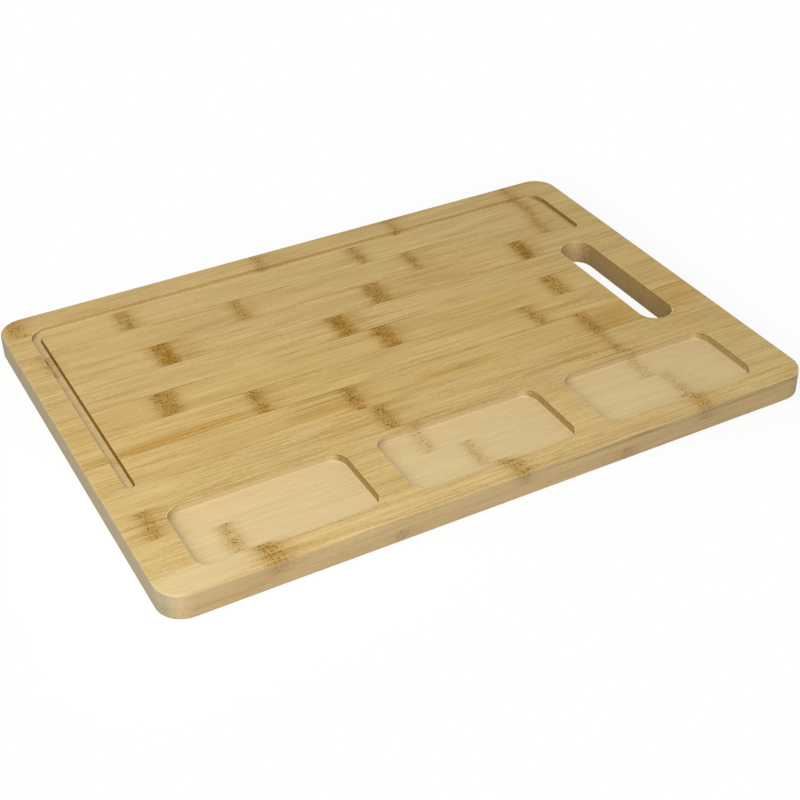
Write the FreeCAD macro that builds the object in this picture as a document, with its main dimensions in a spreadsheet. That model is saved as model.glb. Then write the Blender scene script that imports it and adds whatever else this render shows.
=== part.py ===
"""Bamboo cutting board: two glued layers of strips, a hand slot, a juice groove and three wells.

The board lies flat. Its origin is the middle of its underside, +X runs along the strips towards the
hand slot, +Y runs from the wells at the front edge to the back edge, and +Z is up. All sizes are in mm.

It is made as the real board is: strips are glued side by side in two layers, and the panel is then cut
to outline and routed in one go. So the routed panel is one body, and each strip is what that body
leaves of it between two glue lines.
"""
import FreeCAD, Part
import math
import os

import Sketcher

# --------------------------------------------------------------------------------------------------
# Driving dimensions
# --------------------------------------------------------------------------------------------------

DIMENSIONS = (
    ("board_length", 379.0, "overall, along X"),
    ("top_layer", 7.5, "thickness of the upper layer of strips"),
    ("bottom_layer", 7.5, "thickness of the lower layer of strips"),
    ("board_corner", 14.5, "corner radius of the board, seen from above"),
    ("edge_radius", 1.2, "rounding of the outer edges, above and below"),
    ("strip_width", 23.0, "one bamboo strip, from glue line to glue line, along Y"),
    ("edge_trim", 1.8, "sawn off the front and the back edge of the glued panel"),
    ("slot_length", 101.5, "hand slot, along Y, over its round ends"),
    ("slot_width", 21.0, "hand slot, along X"),
    ("slot_margin", 25.0, "from the hand slot to the right end of the board"),
    ("slot_edge_radius", 0.6, "sanded rounding of the hand slot's two rims"),
    ("well_width", 49.5, "one well, along Y"),
    ("well_depth", 4.6, "one well, below the top face"),
    ("well_gap", 18.0, "the bar left between two wells"),
    ("well_left_margin", 23.7, "from the board's left end to the first well"),
    ("well_right_margin", 26.2, "from the last well to the board's right end"),
    ("well_front_margin", 14.1, "from the board's front edge to the wells"),
    ("well_corner", 8.5, "corner radius of a well, seen from above"),
    ("well_floor_radius", 1.0, "fillet between a well's wall and its floor"),
    ("groove_width", 5.5, "juice groove, across"),
    ("groove_depth", 3.0, "juice groove, below the top face"),
    ("groove_floor_radius", 1.0, "rounding along the bottom of the groove, left by its cutter"),
    ("groove_corner", 8.5, "radius of the groove's centre line at its two corners"),
    ("groove_left_margin", 14.2, "from the board's left end to the groove"),
    ("groove_right_margin", 16.6, "from the board's right end to the groove"),
    ("groove_back_margin", 16.3, "from the board's back edge to the groove"),
    ("wells_to_groove", 24.2, "from the wells to the round end of the groove's left leg"),
    ("slot_to_groove", 15.6, "from the hand slot's far end to the round end of the right leg"),
    ("rim_radius", 0.4, "sanded rounding of the rims of the wells and the groove"),
)
WELL_COUNT = 3
TOP_STRIP_COUNT = 12
BOTTOM_STRIP_COUNT = TOP_STRIP_COUNT + 1  # so that its glue lines lie under the middles of the top strips
TOP_CUT_COUNT = 4  # the middle ones, which end at the hand slot and go on beyond it
BOTTOM_CUT_COUNT = 3

doc = FreeCAD.newDocument("cutting_board")
sheet = doc.addObject("Spreadsheet::Sheet", "Dimensions")
for row, (alias, size, meaning) in enumerate(DIMENSIONS, start=1):
    sheet.set("A%d" % row, meaning)
    sheet.set("B%d" % row, str(size))
    sheet.setAlias("B%d" % row, alias)
doc.recompute()

# Places on the board, as expressions of the sheet, which stay live in the document.
TOP = "(Dimensions.top_layer + Dimensions.bottom_layer)"
LEFT_END = "(-Dimensions.board_length / 2)"
RIGHT_END = "(Dimensions.board_length / 2)"
BACK_EDGE = "(Dimensions.strip_width * %d / 2 - Dimensions.edge_trim)" % TOP_STRIP_COUNT
FRONT_EDGE = "(-%s)" % BACK_EDGE

# --------------------------------------------------------------------------------------------------
# Sketch and edge helpers
# --------------------------------------------------------------------------------------------------

panel = doc.addObject("PartDesign::Body", "routed_panel")


class Point:
    """How the Sketcher numbers the points of a line or an arc, and the sketch's own origin."""

    START, END, CENTRE = range(1, 4)
    ORIGIN = (-1, 1)


def value(expression):
    """What an expression of the sheet is worth now, in mm."""
    return float(panel.evalExpression(expression))


def horizontal_sketch(name, height="0"):
    """A sketch in the panel, parallel to its XY plane, at a height given as an expression."""
    sketch = panel.newObject("Sketcher::SketchObject", name)
    xy_plane = next(plane for plane in panel.Origin.OriginFeatures if plane.Role == "XY_Plane")
    sketch.AttachmentSupport = [(xy_plane, "")]
    sketch.MapMode = "FlatFace"
    sketch.setExpression("AttachmentOffset.Base.z", height)
    return sketch


def line(x1, y1, x2, y2):
    return Part.LineSegment(FreeCAD.Vector(x1, y1, 0), FreeCAD.Vector(x2, y2, 0))


def arc(x, y, radius, first_deg, last_deg):
    """An arc about (x, y), counter-clockwise from the first angle to the last."""
    circle = Part.Circle(FreeCAD.Vector(x, y, 0), FreeCAD.Vector(0, 0, 1), radius)
    return Part.ArcOfCircle(circle, math.radians(first_deg), math.radians(last_deg))


def tangent_loop(sketch, pieces):
    """Add lines and arcs that follow each other round a closed outline, tangent at every joint."""
    added = [sketch.addGeometry(piece, False) for piece in pieces]

    def gap(joint):
        return sketch.getPoint(*joint[0]).distanceToPoint(sketch.getPoint(*joint[1]))

    for this, following in zip(added, added[1:] + added[:1]):
        ends = (Point.START, Point.END)
        joints = [((this, a), (following, b)) for a in ends for b in ends]
        near, far = min(joints, key=gap)
        sketch.addConstraint(Sketcher.Constraint("Tangent", *near, *far))
    for index, piece in zip(added, pieces):
        if isinstance(piece, Part.LineSegment):
            run = piece.EndPoint - piece.StartPoint
            direction = "Vertical" if abs(run.y) > abs(run.x) else "Horizontal"
            sketch.addConstraint(Sketcher.Constraint(direction, index))
    return added


def dimension(sketch, kind, elements, name, expression):
    """Add a driving dimension to a sketch and bind it to the sheet."""
    index = sketch.addConstraint(Sketcher.Constraint(kind, *elements, value(expression)))
    sketch.renameConstraint(index, name)
    sketch.setExpression("Constraints." + name, expression)


def rounded_rectangle(sketch, left, right, front, back, radius):
    """A rectangle with rounded corners, its sides at the places that four expressions give."""
    x1, x2, y1, y2, r = (value(place) for place in (left, right, front, back, radius))
    outline = tangent_loop(sketch, (
        line(x1 + r, y1, x2 - r, y1),
        arc(x2 - r, y1 + r, r, 270, 360),
        line(x2, y1 + r, x2, y2 - r),
        arc(x2 - r, y2 - r, r, 0, 90),
        line(x2 - r, y2, x1 + r, y2),
        arc(x1 + r, y2 - r, r, 90, 180),
        line(x1, y2 - r, x1, y1 + r),
        arc(x1 + r, y1 + r, r, 180, 270),
    ))
    front_side, right_side, back_side, left_side = outline[0::2]
    corners = outline[1::2]
    for corner in corners[1:]:
        sketch.addConstraint(Sketcher.Constraint("Equal", corners[0], corner))
    dimension(sketch, "Radius", (corners[0],), "corner_radius", radius)
    dimension(sketch, "DistanceX", (*Point.ORIGIN, left_side, Point.START), "left", left)
    dimension(sketch, "DistanceX", (*Point.ORIGIN, right_side, Point.START), "right", right)
    dimension(sketch, "DistanceY", (*Point.ORIGIN, front_side, Point.START), "front", front)
    dimension(sketch, "DistanceY", (*Point.ORIGIN, back_side, Point.START), "back", back)


def pocket(name, sketch, depth=None):
    """Cut a sketch downwards into the panel, to a depth given as an expression, or right through."""
    before = panel.Shape.Volume
    cut = panel.newObject("PartDesign::Pocket", name)
    cut.Profile = sketch
    if depth is None:
        cut.Type = "ThroughAll"
    else:
        cut.setExpression("Length", depth)
    doc.recompute()
    if not cut.Shape.Volume < before:
        raise RuntimeError(name + " cuts nothing")
    return cut


def edges_at(height, left, right, front, back):
    """Names of the panel's edges that lie level at a height, inside a rectangle seen from above."""
    z, x1, x2, y1, y2 = (value(place) for place in (height, left, right, front, back))
    tolerance = 1e-4  # mm
    found = []
    for number, edge in enumerate(panel.Shape.Edges, start=1):
        box = edge.BoundBox
        level = abs(box.ZMin - z) < tolerance and abs(box.ZMax - z) < tolerance
        along = box.XMin > x1 - tolerance and box.XMax < x2 + tolerance
        across = box.YMin > y1 - tolerance and box.YMax < y2 + tolerance
        if level and along and across:
            found.append("Edge%d" % number)
    return found


def fillet(name, edges, radius):
    """Round the named edges of the panel as it is now, to a radius given as an expression."""
    machined_so_far = panel.Tip
    rounding = panel.newObject("PartDesign::Fillet", name)
    rounding.Base = (machined_so_far, edges)
    rounding.setExpression("Radius", radius)
    doc.recompute()


# --------------------------------------------------------------------------------------------------
# The panel's outline and its rounded outer edges
# --------------------------------------------------------------------------------------------------

OUTLINE = (LEFT_END, RIGHT_END, FRONT_EDGE, BACK_EDGE)

outline_sketch = horizontal_sketch("board_outline")
rounded_rectangle(outline_sketch, *OUTLINE, "Dimensions.board_corner")
slab = panel.newObject("PartDesign::Pad", "glued_slab")
slab.Profile = outline_sketch
slab.setExpression("Length", TOP)
doc.recompute()
fillet("outer_edges", edges_at("0", *OUTLINE) + edges_at(TOP, *OUTLINE), "Dimensions.edge_radius")

# --------------------------------------------------------------------------------------------------
# Three wells along the front edge, with round corners and a fillet all round the floor
# --------------------------------------------------------------------------------------------------

ROW_LEFT = "(%s + Dimensions.well_left_margin)" % LEFT_END
ROW_RIGHT = "(%s - Dimensions.well_right_margin)" % RIGHT_END
WELL_PITCH = "((%s - %s + Dimensions.well_gap) / %d)" % (ROW_RIGHT, ROW_LEFT, WELL_COUNT)
FIRST_WELL_RIGHT = "(%s + %s - Dimensions.well_gap)" % (ROW_LEFT, WELL_PITCH)
WELL_FRONT = "(%s + Dimensions.well_front_margin)" % FRONT_EDGE
WELL_BACK = "(%s + Dimensions.well_width)" % WELL_FRONT
WELL_FLOOR = "(%s - Dimensions.well_depth)" % TOP
WELLS = (ROW_LEFT, ROW_RIGHT, WELL_FRONT, WELL_BACK)

well_sketch = horizontal_sketch("well_outline", TOP)
rounded_rectangle(well_sketch, ROW_LEFT, FIRST_WELL_RIGHT, WELL_FRONT, WELL_BACK, "Dimensions.well_corner")
first_well = pocket("first_well", well_sketch, "Dimensions.well_depth")
with_one_well = panel.Shape.Volume
well_row = panel.newObject("PartDesign::LinearPattern", "well_row")
well_row.Originals = [first_well]
well_row.Direction = (well_sketch, ["H_Axis"])
well_row.Occurrences = WELL_COUNT
well_row.setExpression("Length", "%s * %d" % (WELL_PITCH, WELL_COUNT - 1))
panel.Tip = well_row
doc.recompute()
if not panel.Shape.Volume < with_one_well:
    raise RuntimeError("the row of wells cuts nothing more than the first well")
fillet("well_floors", edges_at(WELL_FLOOR, *WELLS), "Dimensions.well_floor_radius")

# --------------------------------------------------------------------------------------------------
# The juice groove: a left leg, a back run and a shorter right leg, with a round end to each leg and
# a rounded bottom
# --------------------------------------------------------------------------------------------------

GROOVE_LEFT = "(%s + Dimensions.groove_left_margin)" % LEFT_END
GROOVE_RIGHT = "(%s - Dimensions.groove_right_margin)" % RIGHT_END
GROOVE_BACK = "(%s - Dimensions.groove_back_margin)" % BACK_EDGE
LEFT_START = "(%s + Dimensions.wells_to_groove)" % WELL_BACK
RIGHT_START = "(Dimensions.slot_length / 2 + Dimensions.slot_to_groove)"
GROOVE = (GROOVE_LEFT, GROOVE_RIGHT, "min(%s; %s)" % (LEFT_START, RIGHT_START), GROOVE_BACK)
GROOVE_FLOOR = "(%s - Dimensions.groove_depth)" % TOP
HALF_GROOVE = "(Dimensions.groove_width / 2)"
OUTER_TURN = "(Dimensions.groove_corner + %s)" % HALF_GROOVE
INNER_TURN = "(Dimensions.groove_corner - %s)" % HALF_GROOVE


def groove_outline(sketch):
    """The groove seen from above, from its left leg's round end along the inner wall and back."""
    x1, x2, y2 = value(GROOVE_LEFT), value(GROOVE_RIGHT), value(GROOVE_BACK)
    width, half = value("Dimensions.groove_width"), value(HALF_GROOVE)
    outer, inner = value(OUTER_TURN), value(INNER_TURN)
    left_centre, right_centre = value(LEFT_START) + half, value(RIGHT_START) + half
    turn = y2 - outer
    loop = tangent_loop(sketch, (
        arc(x1 + half, left_centre, half, 180, 360),
        line(x1 + width, left_centre, x1 + width, turn),
        arc(x1 + outer, turn, inner, 90, 180),
        line(x1 + outer, y2 - width, x2 - outer, y2 - width),
        arc(x2 - outer, turn, inner, 0, 90),
        line(x2 - width, turn, x2 - width, right_centre),
        arc(x2 - half, right_centre, half, 180, 360),
        line(x2, right_centre, x2, turn),
        arc(x2 - outer, turn, outer, 0, 90),
        line(x2 - outer, y2, x1 + outer, y2),
        arc(x1 + outer, turn, outer, 90, 180),
        line(x1, turn, x1, left_centre),
    ))
    left_end, inner_left, inner_corner, inner_back, other_inner_corner, inner_right = loop[:6]
    right_end, outer_right, outer_corner, outer_back, other_outer_corner, outer_left = loop[6:]
    sketch.addConstraint(Sketcher.Constraint("Equal", inner_corner, other_inner_corner))
    sketch.addConstraint(Sketcher.Constraint("Equal", outer_corner, other_outer_corner))
    dimension(sketch, "Radius", (inner_corner,), "inner_turn", INNER_TURN)
    dimension(sketch, "Radius", (outer_corner,), "outer_turn", OUTER_TURN)
    dimension(sketch, "DistanceX", (*Point.ORIGIN, outer_left, Point.START), "left", GROOVE_LEFT)
    dimension(sketch, "DistanceX", (*Point.ORIGIN, outer_right, Point.START), "right", GROOVE_RIGHT)
    dimension(sketch, "DistanceY", (*Point.ORIGIN, outer_back, Point.START), "back", GROOVE_BACK)
    dimension(sketch, "Radius", (left_end,), "left_end_radius", HALF_GROOVE)
    dimension(sketch, "Radius", (right_end,), "right_end_radius", HALF_GROOVE)
    dimension(sketch, "DistanceY", (*Point.ORIGIN, left_end, Point.CENTRE), "left_start",
              "%s + %s" % (LEFT_START, HALF_GROOVE))
    dimension(sketch, "DistanceY", (*Point.ORIGIN, right_end, Point.CENTRE), "right_start",
              "%s + %s" % (RIGHT_START, HALF_GROOVE))
    dimension(sketch, "DistanceY", (inner_back, Point.START, outer_back, Point.START), "back_width",
              "Dimensions.groove_width")


groove_sketch = horizontal_sketch("groove_outline", TOP)
groove_outline(groove_sketch)
pocket("juice_groove", groove_sketch, "Dimensions.groove_depth")
fillet("groove_floor", edges_at(GROOVE_FLOOR, *GROOVE), "Dimensions.groove_floor_radius")
fillet("sanded_rims", edges_at(TOP, *WELLS) + edges_at(TOP, *GROOVE), "Dimensions.rim_radius")

# --------------------------------------------------------------------------------------------------
# The hand slot: right through near the right end, with full round ends and rounded rims
# --------------------------------------------------------------------------------------------------

SLOT_RIGHT = "(%s - Dimensions.slot_margin)" % RIGHT_END
SLOT_LEFT = "(%s - Dimensions.slot_width)" % SLOT_RIGHT
SLOT_MIDDLE = "(%s - Dimensions.slot_width / 2)" % SLOT_RIGHT
SLOT = (SLOT_LEFT, SLOT_RIGHT, "(-Dimensions.slot_length / 2)", "(Dimensions.slot_length / 2)")


def slot_outline(sketch):
    """Two straight sides along Y, joined by half circles."""
    x1, x2, y1, y2 = (value(place) for place in SLOT)
    half = (x2 - x1) / 2
    near_end, right_side, far_end, left_side = tangent_loop(sketch, (
        arc(x1 + half, y1 + half, half, 180, 360),
        line(x2, y1 + half, x2, y2 - half),
        arc(x1 + half, y2 - half, half, 0, 180),
        line(x1, y2 - half, x1, y1 + half),
    ))
    reach = "(Dimensions.slot_length - Dimensions.slot_width) / 2"
    dimension(sketch, "DistanceX", (*Point.ORIGIN, left_side, Point.START), "left", SLOT_LEFT)
    dimension(sketch, "DistanceX", (*Point.ORIGIN, right_side, Point.START), "right", SLOT_RIGHT)
    dimension(sketch, "DistanceY", (*Point.ORIGIN, near_end, Point.CENTRE), "near_end", "-" + reach)
    dimension(sketch, "DistanceY", (*Point.ORIGIN, far_end, Point.CENTRE), "far_end", reach)


slot_sketch = horizontal_sketch("slot_outline", TOP)
slot_outline(slot_sketch)
pocket("hand_slot", slot_sketch)
fillet("slot_rims", edges_at(TOP, *SLOT) + edges_at("0", *SLOT), "Dimensions.slot_edge_radius")

# --------------------------------------------------------------------------------------------------
# The strips: what the panel leaves between two glue lines
# --------------------------------------------------------------------------------------------------


def glue_lines(strip_count):
    """Expressions of one layer's glue lines, a strip's width apart and centred on the board."""
    line_count = strip_count - 1
    steps = [number - (line_count - 1) / 2 for number in range(line_count)]
    return ["(Dimensions.strip_width * %s)" % step for step in steps]


def strip(name, x1, x2, y1, y2, z1, z2):
    """One strip of the panel, between the places that six expressions give."""
    rough = doc.addObject("Part::Box", name + "_rough")
    rough.setExpression("Length", "%s - %s" % (x2, x1))
    rough.setExpression("Width", "%s - %s" % (y2, y1))
    rough.setExpression("Height", "%s - %s" % (z2, z1))
    for axis, place in zip("xyz", (x1, y1, z1)):
        rough.setExpression("Placement.Base." + axis, place)
    routed = doc.addObject("Part::Common", name)
    routed.Base = panel
    routed.Tool = rough
    routed.Label = name
    return routed


def layer_of_strips(layer, strip_count, cut_count, z1, z2):
    """One layer, numbered from the front; the strips at the hand slot are cut in two by it."""
    places = [FRONT_EDGE] + glue_lines(strip_count) + [BACK_EDGE]
    before_slot = (strip_count - cut_count) // 2
    strips = []
    for number, (y1, y2) in enumerate(zip(places, places[1:]), start=1):
        name = "%s_strip_%02d" % (layer, number)
        if before_slot < number <= before_slot + cut_count:
            strips.append(strip(name, LEFT_END, SLOT_MIDDLE, y1, y2, z1, z2))
            strips.append(strip(name + "_grip_end", SLOT_MIDDLE, RIGHT_END, y1, y2, z1, z2))
        else:
            strips.append(strip(name, LEFT_END, RIGHT_END, y1, y2, z1, z2))
    return strips


pieces = layer_of_strips("bottom", BOTTOM_STRIP_COUNT, BOTTOM_CUT_COUNT, "0", "Dimensions.bottom_layer")
pieces += layer_of_strips("top", TOP_STRIP_COUNT, TOP_CUT_COUNT, "Dimensions.bottom_layer", TOP)
doc.recompute()

# --------------------------------------------------------------------------------------------------
# Check, then write one file for each strip
# --------------------------------------------------------------------------------------------------

for item in doc.Objects:
    if "Invalid" in item.State or "Error" in item.State:
        raise RuntimeError("%s failed: %s" % (item.Label, item.getStatusString()))
for piece in pieces:
    if piece.Shape.isNull() or not piece.Shape.isValid() or not piece.Shape.Solids:
        raise RuntimeError(piece.Label + " isn't a valid solid")
glued_volume = sum(piece.Shape.Volume for piece in pieces)
volume_tolerance = 1e-4 * panel.Shape.Volume
if abs(glued_volume - panel.Shape.Volume) > volume_tolerance:
    raise RuntimeError("the strips don't add up to the panel")

os.makedirs("parts", exist_ok=True)
for piece in pieces:
    piece.Shape.exportStep("parts/%s.step" % piece.Label)
print("%d strips, %.1f cm3" % (len(pieces), glued_volume / 1000))
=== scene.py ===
import math
import random

import bpy
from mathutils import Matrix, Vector


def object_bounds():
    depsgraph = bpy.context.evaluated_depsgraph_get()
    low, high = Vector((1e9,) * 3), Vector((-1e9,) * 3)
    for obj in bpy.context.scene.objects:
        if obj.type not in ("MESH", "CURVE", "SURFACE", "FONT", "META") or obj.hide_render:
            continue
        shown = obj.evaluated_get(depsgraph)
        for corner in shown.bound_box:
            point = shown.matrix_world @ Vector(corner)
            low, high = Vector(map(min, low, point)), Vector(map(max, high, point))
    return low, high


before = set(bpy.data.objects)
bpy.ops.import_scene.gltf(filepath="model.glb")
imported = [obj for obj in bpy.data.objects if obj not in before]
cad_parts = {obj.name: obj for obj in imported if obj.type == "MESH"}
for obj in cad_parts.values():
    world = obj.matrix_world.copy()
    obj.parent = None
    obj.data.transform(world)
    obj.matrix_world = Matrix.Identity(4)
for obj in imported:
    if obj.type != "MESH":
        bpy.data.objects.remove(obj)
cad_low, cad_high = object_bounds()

# ----------------------------------------------------------------------------------------------------
# Lower layer of the board: thirteen bamboo strips, planed flat, that lie grain along the board and are
# glued edge to edge. The hand slot cuts the middle three in two. The wood is only sanded and oiled, so
# each strip keeps its own tone, its fibres and the dark rings of its culm nodes.
# ----------------------------------------------------------------------------------------------------

MM = 1000.0  # the grain is laid out in millimetres, and the board is modelled in metres
BOARD_END = cad_high[0] * MM
BOARD_EDGE = cad_high[1] * MM
BOARD_TOP = cad_high[2] * MM


def put(tree, socket, value):
    """Link an output to a socket, or set the socket to a number, a vector or a colour."""
    if isinstance(value, bpy.types.NodeSocket):
        tree.links.new(value, socket)
    elif isinstance(value, tuple) and socket.type == "RGBA":
        socket.default_value = (*value, 1.0)
    else:
        socket.default_value = value


def maths(tree, operation, *values, clamp=False):
    added = tree.nodes.new("ShaderNodeMath")
    added.operation = operation
    added.use_clamp = clamp
    for socket, value in zip(added.inputs, values):
        put(tree, socket, value)
    return added.outputs[0]


def total(tree, *values):
    result = values[0]
    for value in values[1:]:
        result = maths(tree, "ADD", result, value)
    return result


def product(tree, *values):
    result = values[0]
    for value in values[1:]:
        result = maths(tree, "MULTIPLY", result, value)
    return result


def centred(tree, value):
    """A cloud's value counted from its middle."""
    return maths(tree, "SUBTRACT", value, 0.5)


def vector_maths(tree, operation, *values):
    added = tree.nodes.new("ShaderNodeVectorMath")
    added.operation = operation
    for socket, value in zip(added.inputs, values):
        put(tree, socket, value)
    return added.outputs[0]


def scaled(tree, vector, factor):
    result = vector_maths(tree, "SCALE", vector)
    put(tree, result.node.inputs["Scale"], factor)
    return result


def fade(tree, value, low, high, at_low=0.0, at_high=1.0, kind="SMOOTHSTEP"):
    """Turn a value that runs from low to high into one that runs from at_low to at_high."""
    added = tree.nodes.new("ShaderNodeMapRange")
    added.interpolation_type = kind
    for socket, number in zip(added.inputs, (value, low, high, at_low, at_high)):
        put(tree, socket, number)
    return added.outputs[0]


def colour_mix(tree, amount, first, second, kind="MIX"):
    added = tree.nodes.new("ShaderNodeMix")
    added.data_type = "RGBA"
    added.blend_type = kind
    put(tree, added.inputs["Factor"], amount)
    put(tree, added.inputs[6], first)
    put(tree, added.inputs[7], second)
    return added.outputs[2]


def stretched(tree, place, sizes):
    """The place counted in cells that are so many millimetres long along X, Y and Z."""
    return vector_maths(tree, "MULTIPLY", place, tuple(1.0 / size for size in sizes))


def cloud(tree, place, sizes, detail=1.0, roughness=0.5):
    """Smooth noise around 0.5, with lumps of the given sizes."""
    added = tree.nodes.new("ShaderNodeTexNoise")
    put(tree, added.inputs["Vector"], stretched(tree, place, sizes))
    added.inputs["Scale"].default_value = 1.0
    added.inputs["Detail"].default_value = detail
    added.inputs["Roughness"].default_value = roughness
    return added.outputs["Fac"]


def cells(tree, place, sizes):
    """Distance to the nearest of many scattered points, in cells of the given sizes."""
    added = tree.nodes.new("ShaderNodeTexVoronoi")
    put(tree, added.inputs["Vector"], stretched(tree, place, sizes))
    added.inputs["Scale"].default_value = 1.0
    return added.outputs["Distance"]


def split(tree, vector):
    added = tree.nodes.new("ShaderNodeSeparateXYZ")
    put(tree, added.inputs[0], vector)
    return added.outputs


def join(tree, x, y, z):
    added = tree.nodes.new("ShaderNodeCombineXYZ")
    for socket, value in zip(added.inputs, (x, y, z)):
        put(tree, socket, value)
    return added.outputs[0]


def new_group(name, takes, gives):
    """A node group with vector inputs for names that start with a capital P, and numbers otherwise."""
    group = bpy.data.node_groups.new(name, "ShaderNodeTree")
    for label in takes:
        kind = "NodeSocketVector" if label.startswith("P") else "NodeSocketFloat"
        group.interface.new_socket(label, in_out="INPUT", socket_type=kind)
    for label in gives:
        group.interface.new_socket(label, in_out="OUTPUT", socket_type="NodeSocketFloat")
    return group, group.nodes.new("NodeGroupInput").outputs, group.nodes.new("NodeGroupOutput").inputs


def use_group(tree, group, **values):
    added = tree.nodes.new("ShaderNodeGroup")
    added.node_tree = group
    for label, value in values.items():
        put(tree, added.inputs[label], value)
    return added.outputs


# Grain: broad drifts of tone, long streaks, fine fibres, short flecks, a few thin dark lines, and the
# bundles of vessels, which show as dots where the cane is sawn across. Each size is that of one lump
# along X, Y and Z. All of it sways a little from side to side.
DRIFT_SIZES = (60.0, 6.5, 6.5)
STREAK_SIZES = (80.0, 0.8, 0.8)
FIBRE_SIZES = (28.0, 0.36, 0.36)
FLECK_SIZES = (2.6, 0.42, 0.42)
LINE_SIZES = (48.0, 0.75, 0.75)
BUNDLE_SIZES = (26.0, 1.05, 0.9)
SWAY_SIZES = (110.0, 25.0, 25.0)
SWAY = 0.4
NEXT_CANE = (53.1, 17.7, 13.3)  # a strip's seed times this is the place that its grain is taken from

grain, given, made = new_group(
    "bamboo_grain", ("Place", "Seed"), ("Drift", "Streaks", "Fibres", "Flecks", "Lines", "Bundles"))
moved = vector_maths(grain, "ADD", given["Place"], scaled(grain, NEXT_CANE, given["Seed"]))
sway = fade(grain, cloud(grain, moved, SWAY_SIZES), 0.3, 0.7, -SWAY, SWAY, "LINEAR")
along = vector_maths(grain, "ADD", moved, join(grain, 0.0, sway, 0.0))
put(grain, made["Drift"], cloud(grain, along, DRIFT_SIZES, 2.0, 0.55))
put(grain, made["Streaks"], cloud(grain, along, STREAK_SIZES, 3.0, 0.6))
put(grain, made["Fibres"], cloud(grain, along, FIBRE_SIZES, 2.0, 0.6))
put(grain, made["Flecks"], cloud(grain, along, FLECK_SIZES))
put(grain, made["Lines"], fade(grain, cloud(grain, along, LINE_SIZES), 0.64, 0.78))
put(grain, made["Bundles"], fade(grain, cells(grain, along, BUNDLE_SIZES), 0.10, 0.36, 1.0, 0.0))

# Culm node: the ring where the cane had a joint. It crosses the strip as a brown band with a ragged
# edge, and the stain runs out along the fibres to the right of it.
NODE_WOBBLE = 5.0  # how far the band wanders
HALO_START = -8.0  # the stain begins this far before the band
CORE_SHARE = 0.64
HALO_SHARE = 0.36

ring, given, made = new_group(
    "culm_node", ("Place", "Along", "Middle", "Lean", "Width", "Tail", "Wobble"), ("Core", "Stain"))
x, y, _ = split(ring, given["Place"])
tilt = product(ring, maths(ring, "SUBTRACT", y, given["Middle"]), given["Lean"])
shifted = maths(ring, "SUBTRACT", maths(ring, "SUBTRACT", x, given["Along"]), tilt)
shifted = maths(ring, "MULTIPLY_ADD", given["Wobble"], NODE_WOBBLE, shifted)
half = product(ring, given["Width"], 0.5)
before = maths(ring, "ADD", shifted, half)
after = maths(ring, "SUBTRACT", shifted, half)
ragged = fade(ring, cloud(ring, given["Place"], (12.0, 5.0, 5.0), 2.0), 0.36, 0.62, 0.66, 1.0)
core = product(ring, fade(ring, before, -3.4, 3.4), fade(ring, after, -3.6, 3.8, 1.0, 0.0), ragged)
run_out = fade(ring, maths(ring, "DIVIDE", after, given["Tail"]), 0.0, 1.0, 1.0, 0.0)
halo = product(ring, fade(ring, before, HALO_START, 0.0), run_out)
put(ring, made["Core"], core)
put(ring, made["Stain"], maths(ring, "MULTIPLY_ADD", core, CORE_SHARE, product(ring, halo, HALO_SHARE)))

# Patch: a long soft stretch of another tone, broken up by the streaks.
PATCH_VALUES = ("X", "Y", "Length", "Width", "Strength")
STREAKS_IN_PATCH = -2.2  # how far a streak pushes the patch's edge out or in

tone_patch, given, made = new_group("tone_patch", ("Place", "Streak", *PATCH_VALUES), ("Amount",))
x, y, _ = split(tone_patch, given["Place"])
u = maths(tone_patch, "DIVIDE", maths(tone_patch, "SUBTRACT", x, given["X"]), given["Length"])
v = maths(tone_patch, "DIVIDE", maths(tone_patch, "SUBTRACT", y, given["Y"]), given["Width"])
reach = maths(tone_patch, "MULTIPLY_ADD", u, u, product(tone_patch, v, v))
broken = maths(tone_patch, "MULTIPLY_ADD", centred(tone_patch, given["Streak"]), STREAKS_IN_PATCH, reach)
soft = fade(tone_patch, broken, 0.0, 1.1, 1.0, 0.0)
put(tone_patch, made["Amount"], product(tone_patch, soft, given["Strength"]))

# Glue lines: a thin brown line along each long edge of a strip, which shows in some places only, and a
# fainter one between the two layers.
LAYER_JOINT = BOARD_TOP / 2
LINE_CORE = 0.05  # a line is full up to here, and gone at its width
LINE_WIDTH = 0.55
LAYER_LINE_WIDTH = 0.25
LAYER_LINE_STRENGTH = 0.12

seam, given, made = new_group("glue_line", ("Place", "Front", "Back", "FrontLine", "BackLine"), ("Line",))
_, y, z = split(seam, given["Place"])
patchy = fade(seam, cloud(seam, given["Place"], (38.0, 14.0, 14.0), 2.0, 0.6), 0.38, 0.62, 0.12, 1.0)
at_front = fade(seam, maths(seam, "SUBTRACT", y, given["Front"]), LINE_CORE, LINE_WIDTH, 1.0, 0.0)
at_back = fade(seam, maths(seam, "SUBTRACT", given["Back"], y), LINE_CORE, LINE_WIDTH, 1.0, 0.0)
edges = maths(seam, "MAXIMUM", product(seam, at_front, given["FrontLine"]),
              product(seam, at_back, given["BackLine"]))
off_joint = maths(seam, "ABSOLUTE", maths(seam, "SUBTRACT", z, LAYER_JOINT))
between = fade(seam, off_joint, LINE_CORE, LAYER_LINE_WIDTH, LAYER_LINE_STRENGTH, 0.0)
put(seam, made["Line"], product(seam, maths(seam, "MAXIMUM", edges, between), patchy))


def rest_of(tree, share):
    """What a share leaves of one."""
    return maths(tree, "SUBTRACT", 1.0, share)


def past(tree, value, limit):
    """How far a place lies beyond a limit, on either side of the middle."""
    beyond = maths(tree, "SUBTRACT", maths(tree, "ABSOLUTE", value), limit)
    return maths(tree, "MAXIMUM", beyond, 0.0)


def flat_length(tree, x, y):
    return maths(tree, "SQRT", maths(tree, "MULTIPLY_ADD", x, x, product(tree, y, y)))


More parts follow.
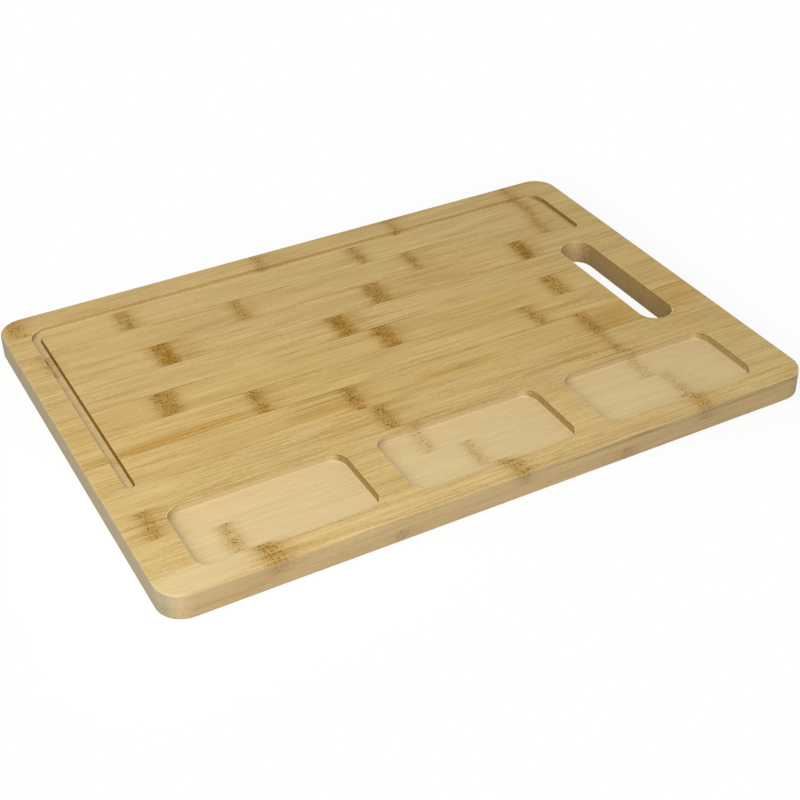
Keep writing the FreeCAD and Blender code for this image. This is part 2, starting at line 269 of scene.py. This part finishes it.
# Cut faces: what the saw and the router leave, with painted light and shade. Sawn end grain goes grey,
# partly with a painted sheen; the router scorches the walls that it cuts across the fibres, and painted
# shade darkens those that face left; the wood deep in a well is paler and more even, and painted light
# brightens some walls and rims.
# Each pair says where the ground of a cut begins or ends: the blend starts at the first number and is
# done at the second.
BOARD_CORNER = 14.5
WELL_FLOOR = 10.4
WELLS_END_Y = (-72.0, -71.5)
GROOVE_START_Y = (-60.0, -59.0)
GROOVE_START_X = (165.0, 166.0)
SLOT_START_X = (141.0, 142.0)
SLOT_END_X = (165.8, 166.4)
SLOT_HALF_Y = (52.0, 53.0)
NEVER_ZERO = 0.01  # stands in for 0 where a level face would divide by it

cut, given, made = new_group(
    "cut_face", ("Place",),
    ("EndGrain", "Side", "RimLines", "Crossed", "ScorchAndShade", "Below", "BareAndLit", "RimLight", "Torn", "Scratches"))
x, y, z = split(cut, given["Place"])
facing = cut.nodes.new("ShaderNodeVectorTransform")
facing.vector_type = "NORMAL"
facing.convert_from = "WORLD"
facing.convert_to = "OBJECT"
cut.links.new(cut.nodes.new("ShaderNodeNewGeometry").outputs["Normal"], facing.inputs[0])
face_x, face_y, _ = split(cut, facing.outputs[0])
upright = maths(cut, "MAXIMUM", flat_length(cut, face_x, face_y), NEVER_ZERO)
across_grain = fade(cut, maths(cut, "ABSOLUTE", face_x), 0.35, 0.85)
edge_on = fade(cut, maths(cut, "ABSOLUTE", face_y), 0.5, 0.9)

# The sawn outside of the board is what lies within about 2 mm of its round-cornered outline.
from_core = flat_length(cut, past(cut, x, BOARD_END - BOARD_CORNER), past(cut, y, BOARD_EDGE - BOARD_CORNER))
outer = fade(cut, from_core, BOARD_CORNER - 2.5, BOARD_CORNER - 1.5)
inside = rest_of(cut, outer)
side = product(cut, edge_on, outer)
put(cut, made["EndGrain"], product(cut, across_grain, outer))
put(cut, made["Crossed"], product(cut, across_grain, inside))
put(cut, made["Side"], side)

# A few thin dark lines lie under the rim of the side, on the right half of the board.
near_rim = product(cut, fade(cut, z, BOARD_TOP - 4.4, BOARD_TOP - 2.0),
                   fade(cut, z, BOARD_TOP - 0.7, BOARD_TOP - 0.2, 1.0, 0.0), fade(cut, x, 5.0, 35.0))
rim_lines = fade(cut, cloud(cut, given["Place"], (60.0, 12.0, 0.55), 2.0), 0.48, 0.60)
put(cut, made["RimLines"], product(cut, side, near_rim, rim_lines))

# Which cut a face belongs to.
below = product(cut, fade(cut, z, BOARD_TOP - 1.4, BOARD_TOP - 0.5, 1.0, 0.0),
                fade(cut, z, WELL_FLOOR - 1.2, WELL_FLOOR - 0.6), inside)
in_groove = maths(cut, "MAXIMUM", fade(cut, y, *GROOVE_START_Y), fade(cut, x, *GROOVE_START_X))
in_slot = product(cut, fade(cut, x, *SLOT_START_X), fade(cut, x, *SLOT_END_X, 1.0, 0.0),
                  fade(cut, maths(cut, "ABSOLUTE", y), *SLOT_HALF_Y, 1.0, 0.0))
put(cut, made["Below"], below)

# Scorch and painted shade: a dark brown, strong on walls across the fibres that face left, faint on those
# that face right, and weaker towards the board's right end. Part of it is the router's scorch on the end
# grain, and part is painted shade on the walls that face left, deep in the cuts.
against = maths(cut, "MAXIMUM", product(cut, face_x, -1.0), product(cut, face_x, 0.3))
toward = maths(cut, "DIVIDE", against, upright)
groove_wall = product(cut, fade(cut, z, BOARD_TOP - 0.5, BOARD_TOP - 0.1, 1.0, 0.0),
                      fade(cut, upright, 0.10, 0.55), fade(cut, toward, 0.45, 0.98),
                      fade(cut, x, 140.0, 165.0, 1.0, 0.78))
well_wall = product(cut, fade(cut, product(cut, toward, upright), 0.30, 0.85, 0.0, 0.77),
                    fade(cut, x, -60.0, 150.0, 1.0, 0.87, "LINEAR"),
                    fade(cut, in_slot, 0.0, 1.0, 1.0, 0.1, "LINEAR"))
scorch_and_shade = maths(cut, "MULTIPLY_ADD", maths(cut, "SUBTRACT", groove_wall, well_wall), in_groove, well_wall)
put(cut, made["ScorchAndShade"], product(cut, scorch_and_shade, inside))

# Bare wood in the wells and on the groove's floor, paler than the top, with painted light: the wells' walls
# that face front or back get half as much again, and the slot's wall, which lies in shade, gets half as
# much.
fresh_and_lit = fade(cut, maths(cut, "ABSOLUTE", face_y), 0.3, 0.9, 1.0, 1.5)
in_well = product(cut, below, fresh_and_lit, fade(cut, y, *WELLS_END_Y, 1.0, 0.0))
slot_wall = product(cut, in_slot, inside, fade(cut, upright, 0.5, 0.8))
groove_floor = product(cut, fade(cut, z, BOARD_TOP - 2.8, BOARD_TOP - 1.4, 0.6, 0.0), in_groove,
                       rest_of(cut, across_grain), inside)
in_slot_or_groove = maths(cut, "MAXIMUM", product(cut, slot_wall, 0.5), groove_floor)
put(cut, made["BareAndLit"], maths(cut, "MAXIMUM", in_well, in_slot_or_groove))

# Painted light: faces that turn right or back near the top, which are the rims of the cuts and the board's
# eased edge, are painted pale where the lamp leaves them dim, and the slot's wall a little too. The router
# tears fibres in the far right corners of its cuts, and leaves scratches on their walls.
lit_rims = product(cut, fade(cut, maths(cut, "MAXIMUM", face_x, face_y), 0.12, 0.5),
                       fade(cut, z, BOARD_TOP - 1.3, BOARD_TOP - 0.6))
put(cut, made["RimLight"], maths(cut, "MAXIMUM", lit_rims, product(cut, slot_wall, 0.05)))
far_corner = total(cut, product(cut, face_x, -0.7), product(cut, face_y, -0.7))
torn_fibres = fade(cut, cloud(cut, given["Place"], (1.6, 0.8, 0.9), 2.0), 0.52, 0.66)
put(cut, made["Torn"], product(cut, fade(cut, far_corner, 0.55, 0.95), inside, torn_fibres))
put(cut, made["Scratches"], cloud(cut, given["Place"], (9.0, 0.7, 12.0), 2.0, 0.6))


# How much each part of the grain deepens the tone, and the span of tones in a strip around its own.
GRAIN_WEIGHTS = {"Streaks": 2.5, "Fibres": 3.0, "Flecks": 1.3}
LINE_WEIGHT = 0.45
DRIFT_WEIGHT = 1.3
BOLD_SIZES = (60.0, 11.0, 11.0)  # the grain shows more strongly in some places than in others
MEAN_DEPTH = 0.42
EVEN_IN_WELL = 0.8
PALEST = (1.14, 1.17, 1.28)
DEEPEST = (0.80, 0.76, 0.66)


def fibre_colour(tree, place, tone, figure, lines, below):
    """The colour of the fibres, from the palest straw in the strip to its deepest amber."""
    depth = total(tree, *(product(tree, centred(tree, lines[label]), weight)
                          for label, weight in GRAIN_WEIGHTS.items()),
                  product(tree, lines["Lines"], LINE_WEIGHT))
    bold = fade(tree, cloud(tree, place, BOLD_SIZES), 0.36, 0.64, 0.55 * figure, 1.5 * figure)
    depth = product(tree, depth, bold)
    depth = maths(tree, "MULTIPLY_ADD", centred(tree, lines["Drift"]), DRIFT_WEIGHT, depth)
    even = fade(tree, below, 0.0, 1.0, 1.0, EVEN_IN_WELL, "LINEAR")
    depth = maths(tree, "MULTIPLY_ADD", depth, even, MEAN_DEPTH, clamp=True)
    palest = tuple(min(1.0, part * lift) for part, lift in zip(tone, PALEST))
    deepest = tuple(part * drop for part, drop in zip(tone, DEEPEST))
    return colour_mix(tree, depth, palest, deepest)


def node_marks(tree, place, middle, rings):
    """Where the culm nodes of a strip are pitted, and where they stain it."""
    wobble = centred(tree, cloud(tree, place, (7.0, 3.6, 3.6), 3.0, 0.6))
    core, stain = 0.0, 0.0
    for along, lean, width, tail, strength in rings:
        found = use_group(tree, ring, Place=place, Along=along, Middle=middle, Lean=lean, Width=width,
                          Tail=tail, Wobble=wobble)
        pitted = strength ** 0.4  # a pale node is still pitted
        core = maths(tree, "MAXIMUM", core, product(tree, found["Core"], pitted))
        stain = maths(tree, "MAXIMUM", stain, product(tree, found["Stain"], strength))
    return core, stain


NODE_STAIN = (0.60, 0.43, 0.06)
PIT_STAIN = (0.40, 0.27, 0.08)
GLUE_STAIN = (0.54, 0.42, 0.28)
AMBER_STAIN = (0.84, 0.70, 0.42)
BARE_WOOD = (0.680, 0.550, 0.320)
# grey of sawn end grain, with a painted glancing sheen of the white surround in it
END_GREY_AND_SHEEN = (0.31, 0.285, 0.215)
SIDE_TONE = (0.56, 0.43, 0.27)
# dark brown for the router's scorch and for painted shade on walls that face left
SCORCH_AND_SHADE = (0.37, 0.29, 0.12)
SCRATCHED = (0.80, 0.74, 0.66)
# pale tone of the painted highlight on the rims
RIM_LIGHT_TONE = (0.92, 0.77, 0.50)
FIBRE_CURL = 5.0
PIT_SIZES = (1.9, 1.35, 1.35)
THREAD_SIZES = (1.0, 5.0, 5.0)
MOTTLE_SIZES = (2.6, 1.2, 1.2)
OILED_ROUGHNESS = 0.52
RELIEF = 0.00004  # depth of the grain, in metres


def strip_wood(name, tone, figure, seed, front, back, glue, rings, amber=(), straw=()):
    """Oiled bamboo for one strip, with its glue lines, its culm nodes and its deeper and paler patches."""
    wood = bpy.data.materials.new(name)
    wood.use_nodes = True
    tree = wood.node_tree
    shader = tree.nodes["Principled BSDF"]
    place = scaled(tree, tree.nodes.new("ShaderNodeTexCoord").outputs["Object"], MM)
    core, stain = node_marks(tree, place, (front + back) / 2, rings)

    # The fibres curl where they pass through a culm node.
    curl = product(tree, centred(tree, cloud(tree, place, (4.0, 3.0, 3.0))), stain, FIBRE_CURL)
    fibre_place = vector_maths(tree, "ADD", place, join(tree, 0.0, curl, 0.0))
    lines = use_group(tree, grain, Place=fibre_place, Seed=float(seed))
    faces = use_group(tree, cut, Place=place)

    colour = fibre_colour(tree, fibre_place, tone, figure, lines, faces["Below"])
    # paler bare wood, and painted light on the wells' walls that face front or back and on the slot's wall
    colour = colour_mix(tree, product(tree, faces["BareAndLit"], 0.55), colour, BARE_WOOD)
    for patches, tint, kind in ((amber, AMBER_STAIN, "MULTIPLY"), (straw, BARE_WOOD, "MIX")):
        for patch in patches:
            found = use_group(tree, tone_patch, Place=place, Streak=lines["Streaks"],
                              **dict(zip(PATCH_VALUES, patch)))
            colour = colour_mix(tree, found["Amount"], colour, tint, kind)

    # The culm nodes: brown stain, darker threads across the strip, and small dark pits.
    mottle = fade(tree, cloud(tree, place, MOTTLE_SIZES, 3.0, 0.65), 0.3, 0.7, 0.72, 1.28, "LINEAR")
    stained = maths(tree, "MULTIPLY", stain, mottle, clamp=True)
    threads = fade(tree, cloud(tree, place, THREAD_SIZES, 2.0), 0.52, 0.68)
    pits = fade(tree, cells(tree, place, PIT_SIZES), 0.20, 0.36, 1.0, 0.0)
    dark = product(tree, core, maths(tree, "MAXIMUM", pits, product(tree, threads, 0.5)))

    # The glue lines stop at the wells. The cut faces are marked by the tool that made them, and carry
    # painted shade on walls that face left and painted light on rims, on the slot's wall and in the end
    # grain's sheen.
    line = use_group(tree, seam, Place=place, Front=front, Back=back, FrontLine=glue[0], BackLine=glue[1])
    seen = product(tree, line["Line"], rest_of(tree, faces["Below"]))
    scratches = product(tree, faces["Crossed"], fade(tree, faces["Scratches"], 0.42, 0.66), 0.6)
    sawn_across = maths(tree, "MAXIMUM", faces["EndGrain"], faces["Crossed"])
    for amount, tint, kind in (
        (stained, NODE_STAIN, "MULTIPLY"),
        (maths(tree, "MULTIPLY", dark, 1.7, clamp=True), PIT_STAIN, "MULTIPLY"),
        (seen, GLUE_STAIN, "MULTIPLY"),
        # painted sheen: the end grain's grey also stands for the white surround's glancing reflection
        (product(tree, faces["EndGrain"], 0.7), END_GREY_AND_SHEEN, "MIX"),
        (product(tree, faces["Side"], 0.4), SIDE_TONE, "MIX"),
        (product(tree, faces["RimLines"], 0.85), GLUE_STAIN, "MULTIPLY"),
        # painted shade: the scorch also darkens the walls that face left, as shade in the recesses
        (faces["ScorchAndShade"], SCORCH_AND_SHADE, "MULTIPLY"),
        (scratches, SCRATCHED, "MULTIPLY"),
        (product(tree, lines["Bundles"], sawn_across, 0.35), PIT_STAIN, "MULTIPLY"),
        (product(tree, faces["Torn"], 0.5), BARE_WOOD, "MIX"),
        # painted highlight on the rims that turn away from the lamp, and a little painted light on the
        # slot's wall
        (product(tree, faces["RimLight"], 0.8), RIM_LIGHT_TONE, "MIX"),
    ):
        colour = colour_mix(tree, amount, colour, tint, kind)
    put(tree, shader.inputs["Base Color"], colour)

    put(tree, shader.inputs["Roughness"], total(
        tree, OILED_ROUGHNESS, product(tree, centred(tree, lines["Fibres"]), 0.3),
        product(tree, faces["EndGrain"], 0.18), product(tree, stained, 0.08)))
    shader.inputs["IOR"].default_value = 1.47
    shader.inputs["Specular IOR Level"].default_value = 0.12
    bump = tree.nodes.new("ShaderNodeBump")
    bump.inputs["Strength"].default_value = 0.5
    bump.inputs["Distance"].default_value = RELIEF
    put(tree, bump.inputs["Height"], total(
        tree, lines["Fibres"], product(tree, lines["Lines"], -0.7), product(tree, pits, core, -1.2),
        product(tree, line["Line"], -1.0), product(tree, faces["Torn"], 2.0)))
    put(tree, shader.inputs["Normal"], bump.outputs[0])
    return wood


def finish_strip(layer, number, wood):
    """Give the strip, and the short block that the hand slot leaves of it, the same wood."""
    whole = "%s_strip_%02d" % (layer, number)
    for name in (whole, whole + "_grip_end"):
        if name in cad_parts:
            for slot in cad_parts[name].material_slots:
                slot.material = wood


# The tones of bamboo, from straw to amber. This layer shows at the edges, in the slot and from below.
# Its tones, glue lines and culm nodes are left to chance, but no node falls in the slot.
PALE = (0.562, 0.400, 0.158)
HONEY = (0.550, 0.383, 0.148)
AMBER = (0.552, 0.380, 0.137)
STRIP_WIDTH = 23.0
LOWER_STRIPS = 13
STRIPS_AT_SLOT = range(5, 10)
FIRST_LOWER_CANE = 40  # this seed and the ones after it are for the lower layer
SIDE_PATCH = (-165.0, -138.2, 60.0, 3.5, 0.6)  # the front edge is deeper in tone towards its left end

chance = random.Random(7)
for number in range(1, LOWER_STRIPS + 1):
    front = (number - 1 - LOWER_STRIPS / 2) * STRIP_WIDTH
    tone = chance.choice((PALE, HONEY, HONEY, AMBER))
    node_place = chance.uniform(-180.0, -60.0)
    rings = []
    while node_place < BOARD_END:
        at_slot = number in STRIPS_AT_SLOT and 135.0 < node_place < 172.0
        rings.append((node_place - 40.0 if at_slot else node_place, chance.uniform(-0.12, 0.12),
                      chance.uniform(5.0, 10.0), chance.uniform(9.0, 22.0), chance.uniform(0.5, 0.95)))
        node_place += chance.uniform(110.0, 150.0)
    glue = (chance.uniform(0.3, 0.8), chance.uniform(0.3, 0.8))
    wood = strip_wood("lower_strip_%02d" % number, tone, 1.0, FIRST_LOWER_CANE + number, front,
                      front + STRIP_WIDTH, glue, rings, amber=(SIDE_PATCH,) if number == 1 else ())
    finish_strip("bottom", number, wood)

# ----------------------------------------------------------------------------------------------------
# Upper layer: twelve strips, their glue lines over the middles of the strips below. The wells and the
# juice groove are routed into it after gluing, and the hand slot through both layers, so the grain of
# a strip runs on past them.
# ----------------------------------------------------------------------------------------------------

# Tone, how strongly the grain shows, glue line in front and behind, and the culm nodes: place, lean,
# width, tail, strength.
UPPER_STRIPS = (
    (PALE, 1.15, (0.0, 0.3), ((-131.8, -0.05, 10.0, 13.0, 0.62), (3.8, -0.05, 8.0, 13.0, 0.52),
                              (120.1, 0.10, 8.0, 22.0, 0.55))),
    (PALE, 1.25, (0.3, 0.3), ((-142.3, 0.03, 5.0, 9.0, 0.60), (-6.1, 0.03, 3.5, 12.0, 0.42),
                              (122.7, 0.0, 4.5, 20.0, 0.42))),
    (HONEY, 1.40, (0.3, 0.6), ((-175.1, 0.02, 6.0, 16.0, 0.68), (-24.6, 0.1, 4.0, 6.0, 0.30),
                               (114.2, 0.05, 5.0, 20.0, 0.25))),
    (HONEY, 1.30, (0.6, 0.4), ((-33.6, 0.05, 8.0, 22.0, 0.62), (110.7, 0.0, 4.5, 7.0, 0.48))),
    (AMBER, 0.95, (0.4, 0.9), ((-41.1, 0.05, 6.5, 18.0, 0.68), (111.7, 0.0, 7.0, 42.0, 0.62))),
    (AMBER, 1.00, (0.9, 0.4), ((-86.5, 0.05, 6.5, 16.0, 0.68), (88.6, -0.10, 5.5, 12.0, 0.62))),
    (AMBER, 0.60, (0.4, 0.9), ((-130.4, 0.02, 11.0, 8.0, 0.74), (3.4, 0.05, 9.5, 17.0, 0.90),
                               (118.3, 0.0, 9.5, 8.0, 0.66))),
    (HONEY, 1.35, (0.9, 0.7), ((-13.6, 0.0, 9.5, 22.0, 0.92),)),
    (HONEY, 1.00, (0.7, 0.6), ((-113.9, -0.02, 10.0, 22.0, 0.97), (20.5, 0.03, 11.0, 13.0, 0.70),
                               (123.9, 0.08, 7.5, 14.0, 1.0))),
    (HONEY, 0.85, (0.6, 0.4), ((-174.2, 0.0, 6.5, 10.0, 0.34), (-58.5, 0.02, 5.5, 14.0, 0.62),
                               (57.6, 0.05, 5.0, 18.0, 0.62), (151.1, 0.1, 5.0, 18.0, 0.55))),
    (PALE, 0.70, (0.4, 0.2), ((-121.4, 0.0, 6.5, 12.0, 0.70), (31.5, -0.02, 6.0, 9.0, 0.72),
                              (155.2, 0.1, 5.5, 16.0, 0.55))),
    (HONEY, 0.80, (0.2, 0.0), ((-180.2, 0.0, 9.0, 12.0, 0.52), (-25.5, 0.05, 6.0, 20.0, 0.45),
                               (68.2, 0.1, 5.5, 18.0, 0.50), (155.7, 0.0, 5.5, 18.0, 0.50))),
)
# Paler and deeper patches, by strip: middle along X and Y, half length, half width and strength.
STRAW_PATCHES = {1: ((-170.0, -127.0, 36.0, 12.0, 0.55),)}
AMBER_PATCHES = {
    1: (SIDE_PATCH,),
    4: ((-52.0, -58.0, 30.0, 12.0, 0.35), (95.0, -58.0, 20.0, 12.0, 0.4)),
    5: ((-58.0, -36.5, 26.0, 10.0, 0.5), (22.0, -37.5, 40.0, 5.0, 0.4), (150.0, -34.0, 62.0, 15.0, 0.55)),
    6: ((-130.0, -19.5, 66.0, 5.0, 0.85), (-62.0, -5.5, 22.0, 1.0, 0.7)),
    7: ((72.0, 10.5, 38.0, 13.0, 0.3),),
    9: ((66.0, 58.5, 44.0, 13.0, 0.3),),
}
for number, (tone, figure, glue, rings) in enumerate(UPPER_STRIPS, start=1):
    front = (number - 1 - len(UPPER_STRIPS) / 2) * STRIP_WIDTH
    wood = strip_wood("upper_strip_%02d" % number, tone, figure, number, front, front + STRIP_WIDTH, glue,
                      rings, AMBER_PATCHES.get(number, ()), STRAW_PATCHES.get(number, ()))
    finish_strip("top", number, wood)

# ----------------------------------------------------------------------------------------------------
# Studio: a pale floor, a white surround that fills the shadows, one large soft lamp to the front left
# and the camera. None of these is part of the board.
# ----------------------------------------------------------------------------------------------------

FLOOR_HALF = 3.0
FLOOR_LEVEL = -0.00002  # a hair under the board, so that the two faces don't coincide
BOUNCE_GREY = (0.68, 0.68, 0.68, 1.0)
SHADOW_GREY = (0.92, 0.92, 0.92, 1.0)
WHITE = (1.0, 1.0, 1.0, 1.0)
GLOW_BY_BOARD = 0.87
SHADOW_REACH = 0.07
FILL_LIGHT = 0.42

floor_mesh = bpy.data.meshes.new("studio_floor")
corners = ((-1, -1), (1, -1), (1, 1), (-1, 1))
floor_points = [(a * FLOOR_HALF, b * FLOOR_HALF, FLOOR_LEVEL) for a, b in corners]
floor_mesh.from_pydata(floor_points, [], [(0, 1, 2, 3)])
floor = bpy.data.objects.new("studio_floor", floor_mesh)
bpy.context.scene.collection.objects.link(floor)


def seen_as_backdrop(tree):
    """1 for what the camera sees, also by reflection, and 0 for the light that falls on the board."""
    path = tree.nodes.new("ShaderNodeLightPath").outputs
    mirrored = maths(tree, "MAXIMUM", path["Is Glossy Ray"], path["Is Transmission Ray"])
    return maths(tree, "MAXIMUM", path["Is Camera Ray"], mirrored)


def matt(tree, colour):
    added = tree.nodes.new("ShaderNodeBsdfDiffuse")
    added.inputs["Color"].default_value = colour
    return added.outputs[0]


def shader_mix(tree, amount, first, second):
    added = tree.nodes.new("ShaderNodeMixShader")
    for socket, value in zip(added.inputs, (amount, first, second)):
        put(tree, socket, value)
    return added.outputs[0]


# The floor sends grey light up at the board. Where it is seen, it glows white and keeps the board's
# soft shadow, which ends a little way from the board.
paper = bpy.data.materials.new("pale_paper")
paper.use_nodes = True
tree = paper.node_tree
tree.nodes.remove(tree.nodes["Principled BSDF"])
glow = tree.nodes.new("ShaderNodeEmission")
glow.inputs["Strength"].default_value = 1.0
x, y, _ = split(tree, tree.nodes.new("ShaderNodeTexCoord").outputs["Object"])
from_board = flat_length(tree, past(tree, x, BOARD_END / MM), past(tree, y, BOARD_EDGE / MM))
glowing = fade(tree, from_board, 0.0, SHADOW_REACH, GLOW_BY_BOARD, 1.0)
lifted = shader_mix(tree, glowing, matt(tree, SHADOW_GREY), glow.outputs[0])
surface = shader_mix(tree, seen_as_backdrop(tree), matt(tree, BOUNCE_GREY), lifted)
put(tree, tree.nodes["Material Output"].inputs["Surface"], surface)
floor_mesh.materials.append(paper)

surround = bpy.data.worlds.new("white_surround")
surround.use_nodes = True
tree = surround.node_tree
sky = tree.nodes["Background"]
sky.inputs["Color"].default_value = WHITE
put(tree, sky.inputs["Strength"], fade(tree, seen_as_backdrop(tree), 0.0, 1.0, FILL_LIGHT, 1.0, "LINEAR"))
bpy.context.scene.world = surround

LAMP_PLACE = (-0.44, -0.34, 0.58)
lamp_light = bpy.data.lights.new("soft_lamp", "AREA")
lamp_light.shape = "DISK"
lamp_light.size = 1.1
lamp_light.energy = 7.3
lamp = bpy.data.objects.new("soft_lamp", lamp_light)
lamp.location = LAMP_PLACE
lamp.rotation_euler = (-Vector(LAMP_PLACE)).to_track_quat("-Z", "Y").to_euler()
bpy.context.scene.collection.objects.link(lamp)

CAMERA_TURN = (55.083, 0.6866, -28.9459)
lens = bpy.data.cameras.new("camera")
lens.lens = 67.744
lens.sensor_width = 36.0
lens.shift_x = -0.02466
lens.shift_y = -0.0066
lens.clip_start = 0.01
camera = bpy.data.objects.new("camera", lens)
camera.location = (-0.32715, -0.63700, 0.48166)
camera.rotation_euler = tuple(math.radians(turn) for turn in CAMERA_TURN)
bpy.context.scene.collection.objects.link(camera)
bpy.context.scene.camera = camera
bpy.context.scene.view_settings.view_transform = "Standard"
